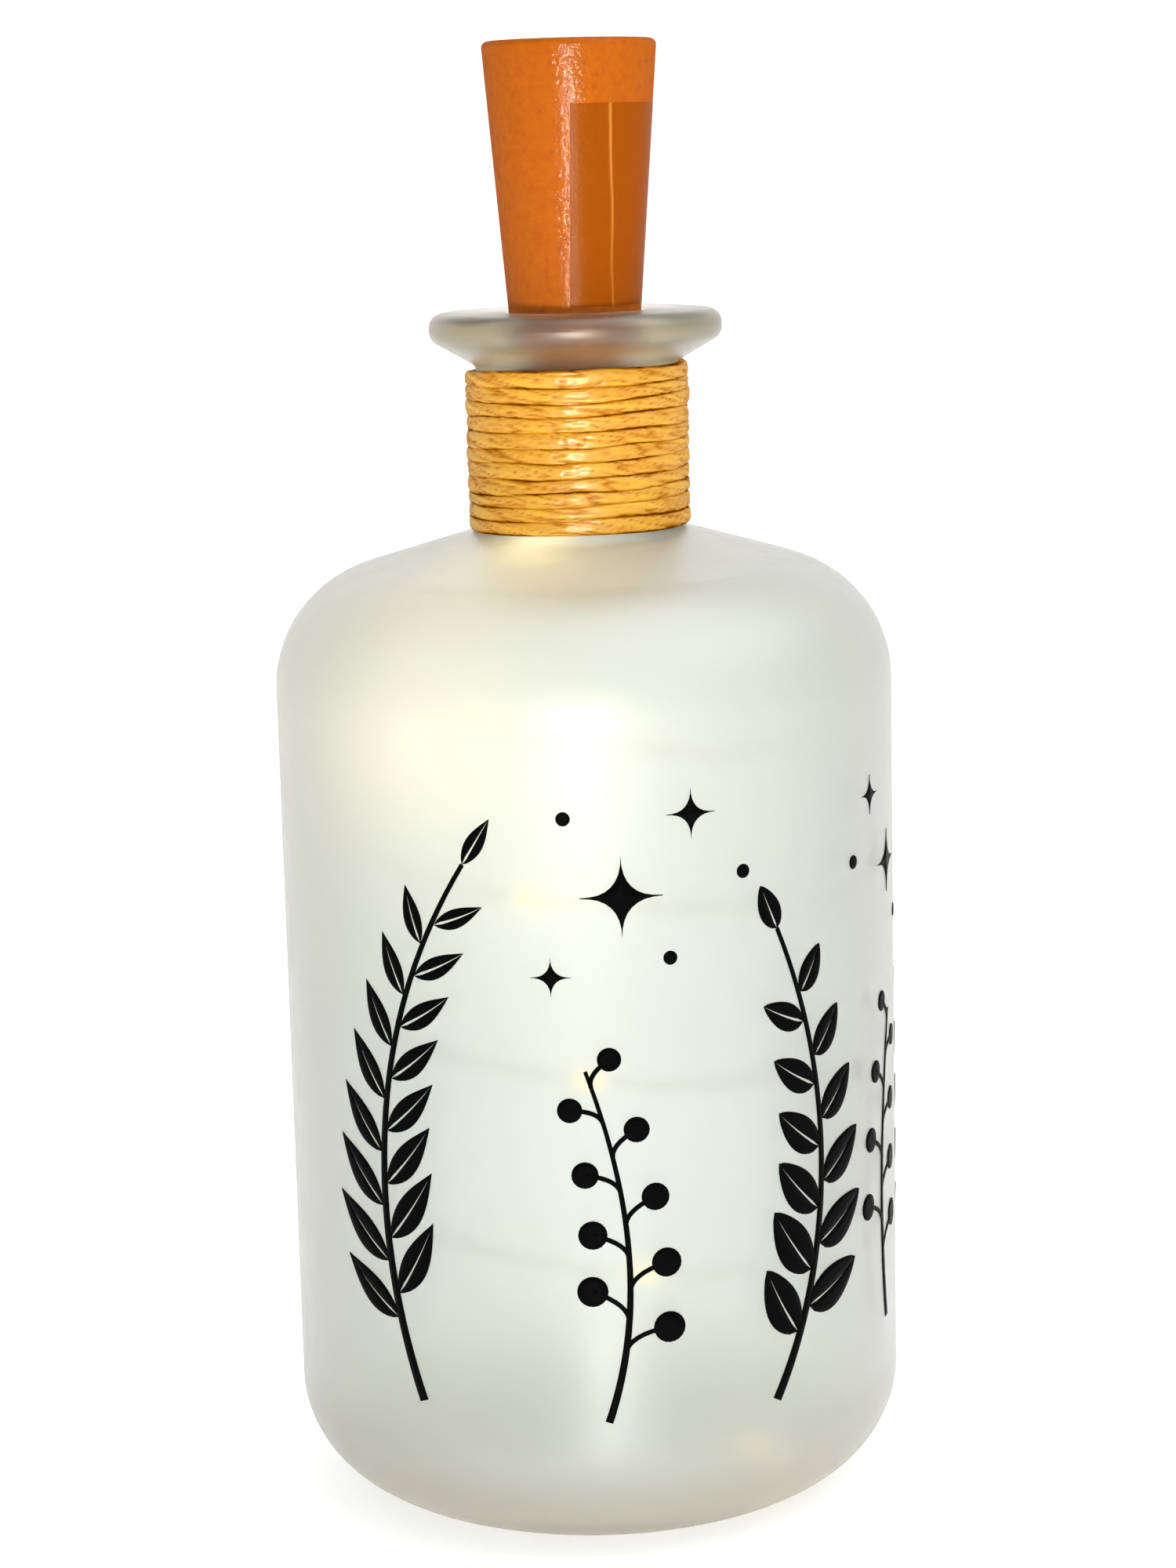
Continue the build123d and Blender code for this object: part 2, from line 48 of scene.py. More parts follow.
# Camera of the photograph, for an upright picture of 1500 by 2000
CAMERA_PLACE = (0.00023, -0.4515, 0.1781)
CAMERA_PITCH, CAMERA_ROLL = radians(10.457), -0.024
SENSOR_HEIGHT, FOCAL_LENGTH = 24, 52.22

# Sizes of the part that the dressing follows, in metres
BODY_RADIUS = 0.041
CORK_BASE, CORK_TOP = 0.1427, 0.1927
CORK_BASE_RADIUS, CORK_TOP_RADIUS = 0.0075, 0.0114
TWINE_RADIUS = 0.01400
TWINE_FOOT, TWINE_HEAD = 0.13065, 0.15056
TWINE_TURNS, TWINE_START_ANGLE = 10.82, pi
TWINE_TURN_LENGTH = 2 * pi * TWINE_RADIUS
TWINE_HALF_WIDTH, TWINE_HALF_DEPTH, TWINE_OVERLAP = 0.00108, 0.00066, 0.00012
NECK_CLEARANCE_RADIUS = 0.01328
STRING_EXIT = (0.0, 0.0, 0.1381)
WIRE_DIAMETER = 0.0005


def ease(share):
    """Smooth step from 0 to 1."""
    share = min(max(share, 0.0), 1.0)
    return share * share * (3 - 2 * share)


def make_camera():
    forward = Vector((0, cos(CAMERA_PITCH), -sin(CAMERA_PITCH)))
    level_up = Vector((0, sin(CAMERA_PITCH), cos(CAMERA_PITCH)))
    side = Vector((1, 0, 0))
    right = side * cos(CAMERA_ROLL) + level_up * sin(CAMERA_ROLL)
    up = level_up * cos(CAMERA_ROLL) - side * sin(CAMERA_ROLL)
    data = bpy.data.cameras.new("camera")
    data.sensor_fit = "VERTICAL"
    data.sensor_height = SENSOR_HEIGHT
    data.lens = FOCAL_LENGTH
    camera = bpy.data.objects.new("camera", data)
    scene.collection.objects.link(camera)
    turned = Matrix((right, up, -forward)).transposed().to_4x4()
    camera.matrix_world = Matrix.Translation(CAMERA_PLACE) @ turned
    scene.camera = camera


# Meshes
def add_mesh(name, vertices, faces):
    mesh = bpy.data.meshes.new(name)
    mesh.from_pydata([tuple(v) for v in vertices], [], faces)
    mesh.validate()
    mesh.polygons.foreach_set("use_smooth", [True] * len(mesh.polygons))
    piece = bpy.data.objects.new(name, mesh)
    scene.collection.objects.link(piece)
    return piece


def add_attribute(piece, name, values):
    attribute = piece.data.attributes.new(name, "FLOAT", "POINT")
    attribute.data.foreach_set("value", values)


# Light string: one smooth line, then two twisted wires along it
COIL_TURNS = 4.9
COIL_START_ANGLE = radians(353)
COIL_TOP, COIL_FOOT = 0.11570, 0.0067
COIL_TOP_RADIUS, COIL_WALL_RADIUS, COIL_FOOT_RADIUS = 0.0096, 0.031, 0.028
COIL_CLOSING_TURNS, COIL_CROWDING = 1.5, 1.25
STRAND_RADIUS, STRAND_SIDES, TWIST_LENGTH = 0.000125, 8, 0.011
LEAD_ROUTE = [
    STRING_EXIT,
    (0.0, 0.0, 0.1331),
    (-0.0030, -0.0026, 0.12700),
    (-0.0049, -0.0052, 0.12230),
    (-0.0022, -0.0088, 0.11850),
    (0.0034, -0.0104, 0.11670),
    (0.00874, -0.00762, 0.11576),
    (0.00947, -0.00167, 0.11570),
]


def coil_point(share):
    """Point of the coil, from 0 at its top to 1 at its foot. It opens out to the wall, and draws in
    again at the foot."""
    turn = COIL_TURNS * share
    angle = COIL_START_ANGLE + 2 * pi * turn
    growth = (COIL_WALL_RADIUS - COIL_TOP_RADIUS) * ease(turn)
    draw_in = (COIL_WALL_RADIUS - COIL_FOOT_RADIUS) * ease(1 - (COIL_TURNS - turn) / COIL_CLOSING_TURNS)
    radius = COIL_TOP_RADIUS + growth - draw_in
    height = COIL_TOP + (COIL_FOOT - COIL_TOP) * share**COIL_CROWDING
    return Vector((radius * cos(angle), radius * sin(angle), height))


def string_line():
    """Points along the light string, read from one smooth curve through its route."""
    count = 240
    coil = [coil_point(i / count) for i in range(1, count + 1)]
    tail = coil[-1] + (coil[-1] - coil[-2]).normalized() * WIRE_DIAMETER
    points = [Vector(p) for p in LEAD_ROUTE] + coil + [tail]
    curve = bpy.data.curves.new("string_route", "CURVE")
    curve.dimensions = "3D"
    spline = curve.splines.new("NURBS")
    spline.points.add(len(points) - 1)
    for control, point in zip(spline.points, points):
        control.co = (*point, 1)
    spline.order_u = 3
    spline.use_endpoint_u = True
    spline.resolution_u = 6
    route = bpy.data.objects.new("string_route", curve)
    line = bpy.data.meshes.new_from_object(route)
    found = [v.co.copy() for v in line.vertices]
    bpy.data.objects.remove(route)
    bpy.data.curves.remove(curve)
    bpy.data.meshes.remove(line)
    return found


def string_wires(line):
    """Two thin strands that twist slowly round the line."""
    vertices, faces = [], []
    tangents = [(b - a).normalized() for a, b in zip(line, line[1:])]
    tangents.append(tangents[-1])
    across = tangents[0].orthogonal().normalized()
    travelled = 0.0
    rings = []
    for i, (point, tangent) in enumerate(zip(line, tangents)):
        if i:
            travelled += (point - line[i - 1]).length
        across = (across - tangent * across.dot(tangent)).normalized()
        other = tangent.cross(across)
        turn = 2 * pi * travelled / TWIST_LENGTH
        lean = across * cos(turn) + other * sin(turn)
        rings.append((point, lean, tangent.cross(lean)))
    for sign in (1, -1):
        first = len(vertices)
        for point, lean, third in rings:
            middle = point + lean * (sign * STRAND_RADIUS * 0.98)
            for k in range(STRAND_SIDES):
                a = 2 * pi * k / STRAND_SIDES
                vertices.append(middle + (lean * cos(a) + third * sin(a)) * STRAND_RADIUS)
        for i in range(len(rings) - 1):
            here, there = first + i * STRAND_SIDES, first + (i + 1) * STRAND_SIDES
            for k in range(STRAND_SIDES):
                after = (k + 1) % STRAND_SIDES
                faces.append((here + k, here + after, there + after, there + k))
        last = first + (len(rings) - 1) * STRAND_SIDES
        faces.append(tuple(first + k for k in reversed(range(STRAND_SIDES))))
        faces.append(tuple(last + k for k in range(STRAND_SIDES)))
    return add_mesh("string_wires", vertices, faces)


def led_centres():
    """Centre of each LED chip of the part, found from the chips' corners, from the top down."""
    largest_chip = 0.004
    groups = []
    for node in ("lead_chip", "led_chips"):
        for vertex in nodes[node].data.vertices:
            for group in groups:
                if (group[0] - vertex.co).length < largest_chip:
                    group.append(vertex.co.copy())
                    break
            else:
                groups.append([vertex.co.copy()])
    centres = [sum(group, Vector()) / len(group) for group in groups]
    return sorted(centres, key=lambda centre: -centre.z)


# Paper twine: a flat crumpled ribbon wound on the neck
def wave(along, length, *lane):
    """Noise that changes over a length of the ribbon. Each use has a lane of its own."""
    return noise.noise(Vector((along / length, *lane)))


def twine_height(turn):
    """Height of the ribbon's middle. The first and the last turn rise less than the others."""
    slow_turns, slow_share = 0.9, 0.35

    def lost(way):
        way = min(way, slow_turns)
        return (1 - slow_share) * (way - way**2 / (2 * slow_turns))

    most_lost = lost(slow_turns)
    climbed = turn - lost(turn) - most_lost + lost(TWINE_TURNS - turn)
    return TWINE_FOOT + (TWINE_HEAD - TWINE_FOOT) * climbed / (TWINE_TURNS - 2 * most_lost)


def twine_middle(turn):
    """Height of the ribbon's middle as it wanders a little up and down."""
    along = turn * TWINE_TURN_LENGTH
    wander = 0.00125 * wave(along, 0.026, 3.1, 0.0) + 0.00045 * wave(along, 0.009, 8.4, 0.0)
    held = ease(min(turn, TWINE_TURNS - turn) / 1.3)
    return twine_height(turn) + wander * held


def twine_reach(turn, side):
    """Half width of the ribbon on its upper side (1) or lower side (-1), to just past where it meets
    the turn beside it."""
    beside = turn + side
    inside = min(beside, TWINE_TURNS - beside)
    meeting = abs(twine_middle(beside) - twine_middle(turn)) / 2 + TWINE_OVERLAP
    return TWINE_HALF_WIDTH + (meeting - TWINE_HALF_WIDTH) * ease(inside / 0.2 + 0.5)


def ridge(value):
    """Sharp crest where a noise value passes through 0."""
    return max(1 - abs(value) * 6.0, 0.0)


def wound_twine():
    """Ribbon with long creases, wound so that its turns lie against and partly over each other."""
    sides, step = 36, 0.00037
    count = int(TWINE_TURN_LENGTH * TWINE_TURNS / step)
    vertices, faces, painted_shade = [], [], []
    for i in range(count + 1):
        turn = TWINE_TURNS * i / count
        along = turn * TWINE_TURN_LENGTH
        angle = TWINE_START_ANGLE + 2 * pi * turn
        height = twine_middle(turn)
        reach = {side: twine_reach(turn, side) for side in (1, -1)}
        lift = 0.00008 + 0.00030 * wave(along, 0.013, 5.7, 2.0)
        lean = 0.35 * wave(along, 0.012, 6.6, 7.0)
        # How dark the painted shade along the groove is; it fades out in places
        strength = min(max(0.65 + 1.8 * wave(along, 0.012, 2.2, 3.0), 0.05), 1.2)
        groove_width = 0.00012 + 0.00016 * strength
        twist = along * 0.16
        for k in range(sides):
            a = 2 * pi * k / sides
            c, s = cos(a), sin(a)
            side = 1 if s > 0 else -1
            out = TWINE_HALF_DEPTH * (abs(c) ** 0.7) * (1 if c > 0 else -1)
            rise = reach[side] * (abs(s) ** 0.85) * side
            fold = wave(along, 0.0100, (rise + twist) / 0.00085, 0.0)
            fine = wave(along, 0.0045, (rise + twist) / 0.00022, 9.0)
            crease = ridge(fold) ** 2
            pucker = ridge(wave(along, 0.0036, (rise - twist * 0.8) / 0.00052, 5.0)) ** 2
            depth = 0.00008 * fold + 0.00006 * fine - 0.00025 * crease - 0.00015 * pucker
            outward = max(c, 0.0) ** 0.4
            radius = TWINE_RADIUS + lift + out + depth * outward + lean * rise * 0.5
            radius = max(radius, NECK_CLEARANCE_RADIUS)
            vertices.append((radius * cos(angle), radius * sin(angle), height + rise))
            # Painted shade: dark lines along the grooves between turns, darker in the creases and
            # puckers, lighter on the raised folds, with fine random tone
            past_meeting = abs(rise) - reach[side] + TWINE_OVERLAP + groove_width
            painted_groove_shade = ease(past_meeting / groove_width) * strength
            light = 0.76 + 0.16 * fold + 0.12 * fine
            painted_shade.append(light - 0.44 * crease - 0.14 * pucker - 0.70 * painted_groove_shade)
        if i:
            here, there = (i - 1) * sides, i * sides
            for k in range(sides):
                after = (k + 1) % sides
                faces.append((here + k, there + k, there + after, here + after))
    last = count * sides
    faces.append(tuple(range(sides)))
    faces.append(tuple(last + k for k in reversed(range(sides))))
    piece = add_mesh("twine_winding", vertices, faces)
    add_attribute(piece, "painted_shade", painted_shade)
    return piece


# Black leaf design on the glass, laid out flat in millimetres: across from the front, and up
VINYL_THICKNESS, VINYL_GAP = 0.00009, 0.00002


class Vinyl:
    """Flat shapes cut from one film and laid round the body of the bottle."""

    def __init__(self):
        self.vertices, self.faces = [], []

    def point(self, across, up):
        radius = BODY_RADIUS + VINYL_GAP + VINYL_THICKNESS
        angle = across * 0.001 / BODY_RADIUS
        self.vertices.append((radius * sin(angle), -radius * cos(angle), up * 0.001))
        return len(self.vertices) - 1

    def strip(self, left, right, cells=3):
        """Sheet between two lines of points, the left one on the left looking along them."""
        rows = []
        for a, b in zip(left, right):
            rows.append([self.point(*a.lerp(b, k / cells)) for k in range(cells + 1)])
        for here, there in zip(rows, rows[1:]):
            for k in range(cells):
                self.faces.append((here[k], here[k + 1], there[k + 1], there[k]))

    def stem(self, line, width, tip_width):
        count = len(line) - 1
        left, right = [], []
        for i, point in enumerate(line):
            ahead = line[min(i + 1, count)] - line[max(i - 1, 0)]
            side = Vector((-ahead.y, ahead.x)).normalized()
            half = (width + (tip_width - width) * i / count) / 2
            left.append(point + side * half)
            right.append(point - side * half)
        self.strip(left, right, 2)

    def leaf(self, base, angle, length, width, bend=0.0, vein=0.35, blunt=1.0):
        """Pointed leaf of two halves with its vein left open between them."""
        count = 14
        along = Vector((cos(angle), sin(angle)))
        side = Vector((-along.y, along.x))
        middle, outline = [], []
        for i in range(count + 1):
            t = i / count
            middle.append(base + along * (length * t) + side * (bend * length * t * t))
            outline.append(width / 2 * sin(pi * t**0.8) ** blunt)
        open_vein = [vein / 2 * (1 - i / count) * min(1, i / 2) for i in range(count + 1)]
        for sign in (1, -1):
            inner = [m + side * sign * min(v, o) for m, v, o in zip(middle, open_vein, outline)]
            outer = [m + side * sign * o for m, o in zip(middle, outline)]
            if sign > 0:
                self.strip(outer, inner)
            else:
                self.strip(inner, outer)

    def dot(self, centre, radius):
        count = 20
        hub = self.point(*centre)
        inner, outer = [], []
        for i in range(count):
            ray = Vector((cos(2 * pi * i / count), sin(2 * pi * i / count)))
            inner.append(self.point(*(centre + ray * radius * 0.55)))
            outer.append(self.point(*(centre + ray * radius)))
        for i in range(count):
            j = (i + 1) % count
            self.faces.append((hub, inner[i], inner[j]))
            self.faces.append((inner[i], outer[i], outer[j], inner[j]))

    def spark(self, centre, radius):
        """Small star with four drawn-in points."""
        count = 8
        hub = self.point(*centre)
        for quarter in range(4):
            a = pi / 2 * quarter
            tip = centre + Vector((cos(a), sin(a))) * radius
            next_tip = centre + Vector((-sin(a), cos(a))) * radius
            edge = []
            for i in range(count + 1):
                t = i / count
                edge.append(self.point(*(tip.lerp(centre, t).lerp(centre.lerp(next_tip, t), t))))
            for here, there in zip(edge, edge[1:]):
                self.faces.append((hub, here, there))

    def piece(self, name):
        made = add_mesh(name, self.vertices, self.faces)
        thick = made.modifiers.new("thickness", "SOLIDIFY")
        thick.thickness = VINYL_THICKNESS
        thick.offset = -1
        return made


def bent_line(start, bend, end, count=36):
    start, bend, end = Vector(start), Vector(bend), Vector(end)
    shares = [i / count for i in range(count + 1)]
    return [start.lerp(bend, t).lerp(bend.lerp(end, t), t) for t in shares]


def leaf_sprig(vinyl, line, pairs, longest, shape, spread, blunt):
    """Stem with pairs of leaves that grow shorter to its tip, and one leaf at the end."""
    count = len(line) - 1
    vinyl.stem(line, 1.3, 0.6)
    for pair in range(pairs):
        for sign in (1, -1):
            share = 0.14 + 0.8 * (pair + (0.0 if sign > 0 else 0.42)) / pairs
            at = share * count
            i = min(int(at), count - 1)
            base = line[i].lerp(line[i + 1], at - i)
            ahead = line[i + 1] - line[i]
            heading = atan2(ahead.y, ahead.x) + sign * spread
            length = longest * (1.0 - 0.55 * share) * (0.75 + 0.25 * min(1, share / 0.25))
            foot = base + Vector((cos(heading), sin(heading))) * 0.5
            vinyl.leaf(foot, heading, length, length * shape, bend=-0.12 * sign, vein=0.4, blunt=blunt)
    ahead = line[-1] - line[-2]
    length = longest * 0.5
    vinyl.leaf(line[-1], atan2(ahead.y, ahead.x), length, length * shape, blunt=blunt)


def berry_sprig(vinyl, line, berries, radius):
    """Stem with berries on short stalks, left and right in turn."""
    count = len(line) - 1
    vinyl.stem(line, 1.0, 0.5)
    for berry in range(berries):
        share = 0.22 + 0.74 * berry / (berries - 1)
        at = share * count
        i = min(int(at), count - 1)
        base = line[i].lerp(line[i + 1], at - i)
        ahead = (line[i + 1] - line[i]).normalized()
        side = Vector((-ahead.y, ahead.x)) * (1 if berry % 2 else -1)
        reach = 5.6 - 2.4 * share
        tip = base + side * reach + ahead * reach * 0.8
        vinyl.stem(bent_line(base, base + ahead * reach * 0.5, tip, 8), 0.6, 0.6)
        vinyl.dot(tip, radius * (1.1 - 0.35 * share))


def glass_design():
    vinyl = Vinyl()
    leaf_sprig(vinyl, bent_line((-24, 21), (-38, 58), (-16, 92)), 8, 14.0, 0.34, 0.84, 1.0)
    leaf_sprig(vinyl, bent_line((24, 20), (40, 48), (25, 82)), 6, 12.6, 0.52, 0.98, 0.75)
    leaf_sprig(vinyl, bent_line((74, 22), (62, 58), (78, 94)), 8, 13.4, 0.34, 0.84, 1.0)
    berry_sprig(vinyl, bent_line((1, 20), (8, 40), (-1, 66)), 9, 2.0)
    berry_sprig(vinyl, bent_line((50, 24), (46, 44), (52, 66)), 8, 1.8)
    sparks = [(4, 88, 5.2), (13, 98, 3.2), (-5, 78, 2.6), (52, 86, 4.2), (45, 96, 2.6)]
    for across, up, radius in sparks:
        vinyl.spark(Vector((across, up)), radius)
    for dot in ((10, 80), (-3, 98), (20, 90), (58, 78), (40, 88)):
        vinyl.dot(Vector(dot), 0.9)
    return vinyl.piece("leaf_design")


# Film stuck on the side of the stopper
def cone_radius(z):
    share = (z - CORK_BASE) / (CORK_TOP - CORK_BASE)
    return CORK_BASE_RADIUS + (CORK_TOP_RADIUS - CORK_BASE_RADIUS) * share


def cork_film():
    """Thin film on the stopper's cone, with one raised crease down it."""
    rows, columns = 24, 150
    foot, head, width, gap = 0.1588, 0.1845, 0.025, 0.00005
    crease_half_width, crease_rise = 0.035, 0.00012
    vertices, faces, crease_highlight = [], [], []
    for j in range(rows + 1):
        share = j / rows
        z = foot + (head - foot) * share
        cone = cone_radius(z)
        left = -0.07 + 0.07 * share
        crease_angle = 0.59 - 0.10 * share + 0.025 * noise.noise(Vector((z / 0.007, 0.0, 0.0)))
        for i in range(columns + 1):
            angle = left + width / cone * (i / columns) ** 1.4
            near = abs(angle - crease_angle) / crease_half_width
            radius = cone + gap + crease_rise * ease(1 - near)
            vertices.append((radius * sin(angle), -radius * cos(angle), z))
            # Strength of the painted highlight along the crease, growing towards the top
            crease_highlight.append(ease(1 - near) * (0.45 + 0.55 * share))
    across = columns + 1
    for j in range(rows):
        for i in range(columns):
            corner = j * across + i
            faces.append((corner, corner + 1, corner + across + 1, corner + across))
    piece = add_mesh("stopper_film", vertices, faces)
    add_attribute(piece, "crease", crease_highlight)
    return piece


# Materials
def set_range(node, *limits):
    """Set a range node to turn its first two limits into the last two."""
    for socket, number in zip(("From Min", "From Max", "To Min", "To Max"), limits):
        node.inputs[socket].default_value = number


class Material:
    """A principled material and short ways to add nodes to it."""

    def __init__(self, name, colour, roughness, **sockets):
        self.material = bpy.data.materials.new(name)
        self.material.use_nodes = True
        self.tree = self.material.node_tree
        self.shader = self.tree.nodes["Principled BSDF"]
        self.set("Base Color", (*colour, 1))
        self.set("Roughness", roughness)
        for socket, value in sockets.items():
            self.set(socket.replace("_", " "), value)

    def set(self, socket, value):
        self.shader.inputs[socket].default_value = value

    def add(self, kind, **settings):
        node = self.tree.nodes.new("ShaderNode" + kind)
        for name, value in settings.items():
            setattr(node, name, value)
        return node

    def link(self, source, target):
        self.tree.links.new(source, target)

    def place(self):
        return self.add("TexCoord").outputs["Object"]

    def texture(self, scale, detail, stretch=None):
        """Noise in the object's own space, its features about 1 / scale metres across."""
        node = self.add("TexNoise")
        node.inputs["Scale"].default_value = scale
        node.inputs["Detail"].default_value = detail
        place = self.place()
        if stretch:
            mapping = self.add("Mapping")
            mapping.inputs["Scale"].default_value = stretch
            self.link(place, mapping.inputs["Vector"])
            place = mapping.outputs["Vector"]
        self.link(place, node.inputs["Vector"])
        return node.outputs["Fac"]

    def ramp(self, value, stops):
        node = self.add("ValToRGB")
        ramp = node.color_ramp
        while len(ramp.elements) < len(stops):
            ramp.elements.new(0.5)
        for element, (position, colour) in zip(ramp.elements, stops):
            element.position = position
            element.color = (*colour, 1)
        self.link(value, node.inputs["Fac"])
        return node.outputs["Color"]

    def span(self, value, low, high, new_low, new_high):
        node = self.add("MapRange")
        set_range(node, low, high, new_low, new_high)
        self.link(value, node.inputs["Value"])
        return node.outputs["Result"]

    def maths(self, operation, a, b):
        node = self.add("Math", operation=operation)
        for socket, value in zip(node.inputs, (a, b)):
            if isinstance(value, (int, float)):
                socket.default_value = value
            else:
                self.link(value, socket)
        return node.outputs["Value"]

    def bump(self, height, distance, strength=1.0):
        node = self.add("Bump")
        node.inputs["Distance"].default_value = distance
        node.inputs["Strength"].default_value = strength
        self.link(height, node.inputs["Height"])
        for socket in ("Normal", "Coat Normal"):
            self.link(node.outputs["Normal"], self.shader.inputs[socket])

    def sheen(self, weight, roughness):
        """Thin sheen in place of the usual gloss, about as strong at the edges as in the middle."""
        self.set("Specular IOR Level", 0.0)
        self.set("Coat Weight", weight)
        self.set("Coat IOR", 2.5)
        self.set("Coat Roughness", roughness)


def frosted_glass(leds):
    """Satin glass, with a painted glow round each LED for the light that it spreads in the glass. A
    glow has its strength and reach.
    """
    base_tint, body_tint, lip_tint = (0.82, 0.85, 0.77), (0.945, 1.0, 1.0), (0.88, 0.90, 0.84)
    m = Material("frosted_glass", body_tint, 0.36, IOR=1.5)
    height = m.add("SeparateXYZ")
    m.link(m.place(), height.inputs["Vector"])
    clear = m.span(height.outputs["Z"], 0.128, 0.150, 0.89, 0.98)
    m.link(clear, m.shader.inputs["Transmission Weight"])
    # Darker and greener at the thick foot, the glass's own tint; darker at the lip, partly the thick
    # glass's own tint and partly painted shade
    up = m.span(height.outputs["Z"], 0.0, 0.16, 0.0, 1.0)
    tint = m.ramp(up, [(0.006, base_tint), (0.069, body_tint), (0.93, body_tint), (0.95, lip_tint)])
    m.link(tint, m.shader.inputs["Base Color"])
    m.set("Coat Weight", 0.80)
    m.set("Coat Roughness", 0.44)
    frost = m.texture(420, 4)
    m.link(m.span(frost, 0.3, 0.7, 0.33, 0.40), m.shader.inputs["Roughness"])
    grain = m.texture(5200, 2)
    m.bump(grain, 0.00002, 0.35)
    # Painted glow: emission on the glass itself, strongest next to each LED and fading over its reach
    painted_glows = [(0.45, 0.006), (0.95, 0.0115), (0.08, 0.011), (0.10, 0.011)]
    painted_glows += [(0.02, 0.011)] * (len(leds) - len(painted_glows))
    # The first LED hangs in the middle, and its painted glow is put on the shoulder in front of it
    centres = [leds[0] + Vector((-0.0035, -0.0100, 0.0005))] + leds[1:]
    painted_glow_total = None
    for led, (strength, reach) in zip(centres, painted_glows):
        distance = m.add("VectorMath", operation="DISTANCE")
        m.link(m.place(), distance.inputs[0])
        distance.inputs[1].default_value = led
        near = m.maths("DIVIDE", distance.outputs["Value"], reach)
        spread = m.maths("ADD", m.maths("MULTIPLY", near, near), 1.0)
        share = m.maths("DIVIDE", strength, m.maths("MULTIPLY", spread, spread))
        painted_glow_total = share if painted_glow_total is None else m.maths("ADD", painted_glow_total, share)
    m.set("Emission Color", (1.0, 0.83, 0.42, 1))
    m.link(painted_glow_total, m.shader.inputs["Emission Strength"])
    depth = m.add("VolumeAbsorption")
    depth.inputs["Color"].default_value = (0.588, 0.412, 0.0, 1)
    depth.inputs["Density"].default_value = 35
    m.link(depth.outputs["Volume"], m.tree.nodes["Material Output"].inputs["Volume"])
    return m.material


def cork_plastic():
    m = Material("cork_plastic", (0.5, 0.08, 0.0), 0.5)
    m.sheen(0.075, 0.13)
    mottle = m.texture(900, 4)
    colour = m.ramp(
        mottle,
        [(0.25, (0.34, 0.061, 0.0)), (0.38, (0.395, 0.085, 0.0)), (0.75, (0.45, 0.104, 0.0))],
    )
    m.link(colour, m.shader.inputs["Base Color"])
    pebble = m.texture(2000, 2)
    m.bump(pebble, 0.00011, 1.0)
    return m.material


def paper_twine():
    m = Material("paper_twine", (0.7, 0.36, 0.07), 0.5)
    m.sheen(0.38, 0.34)
    # Colour from the painted shade on the twine's mesh, with fibre streaks; the coat is thinner where
    # the painted shade is darkest
    painted_shade = m.add("Attribute", attribute_name="painted_shade")
    fibre = m.texture(700, 3, stretch=(1, 1, 5))
    streaks = m.span(fibre, 0.3, 0.7, -0.08, 0.08)
    mixed = m.maths("ADD", painted_shade.outputs["Fac"], streaks)
    m.link(m.span(mixed, 0.25, 0.70, 0.02, 0.38), m.shader.inputs["Coat Weight"])
    colour = m.ramp(
        mixed,
        [
            (0.0, (0.12, 0.025, 0.0)),
            (0.28, (0.39, 0.132, 0.0)),
            (0.55, (0.555, 0.232, 0.002)),
            (0.95, (0.745, 0.42, 0.012)),
        ],
    )
    m.link(colour, m.shader.inputs["Base Color"])
    m.bump(fibre, 0.00005, 0.4)
    return m.material


def black_vinyl():
    m = Material("black_vinyl", (0.002, 0.002, 0.002), 0.5, Specular_IOR_Level=0.02)
    cloud = m.texture(600, 3)
    m.link(m.span(cloud, 0.3, 0.7, 0.36, 0.5), m.shader.inputs["Roughness"])
    m.bump(cloud, 0.00002, 0.3)
    return m.material


def stopper_film():
    flat, crease_highlight = (0.36, 0.075, 0.0), (0.56, 0.22, 0.03)
    m = Material("stopper_film", flat, 0.3, IOR=1.3, Specular_IOR_Level=0.10)
    crease = m.add("Attribute", attribute_name="crease").outputs["Fac"]
    # Painted highlight: the film is paler and more opaque along its crease
    m.link(m.ramp(crease, [(0.0, flat), (0.8, crease_highlight)]), m.shader.inputs["Base Color"])
    m.link(m.span(crease, 0.0, 0.8, 0.58, 0.85), m.shader.inputs["Alpha"])
    cloud = m.texture(260, 3)
    m.bump(cloud, 0.00006, 0.25)
    return m.material


def plain(name, colour, roughness, grain, depth, **sockets):
    """Moulded or metal surface: a little uneven in colour, gloss and height."""
    m = Material(name, colour, roughness, **sockets)
    cloud = m.texture(grain, 4)
    dark = tuple(0.93 * c for c in colour)
    light = tuple(min(1.0, 1.03 * c) for c in colour)
    m.link(m.ramp(cloud, [(0.3, dark), (0.7, light)]), m.shader.inputs["Base Color"])
    gloss = m.span(cloud, 0.3, 0.7, roughness * 0.85, roughness * 1.15)
    m.link(gloss, m.shader.inputs["Roughness"])
    m.bump(cloud, depth, 0.5)
    return m.material


def glowing(name, colour, strength):
    m = Material(name, (0.95, 0.85, 0.6), 0.2)
    m.set("Emission Color", (*colour, 1))
    m.set("Emission Strength", strength)
    cloud = m.texture(2500, 2)
    m.bump(cloud, 0.00003, 0.3)
    return m.material


def dress(material, *names):
    for name in names:
        for material_slot in nodes[name].material_slots:
            material_slot.material = material


# Stage
def area_light(name, place, target, size, power, colour=(1, 1, 1)):
    data = bpy.data.lights.new(name, "AREA")
    data.shape = "RECTANGLE"
    data.size, data.size_y = size
    data.energy = power
    data.color = colour
    lamp = bpy.data.objects.new(name, data)
    scene.collection.objects.link(lamp)
    lamp.location = place
    lamp.rotation_euler = (Vector(target) - Vector(place)).to_track_quat("-Z", "Y").to_euler()
    lamp.visible_camera = False
    return lamp


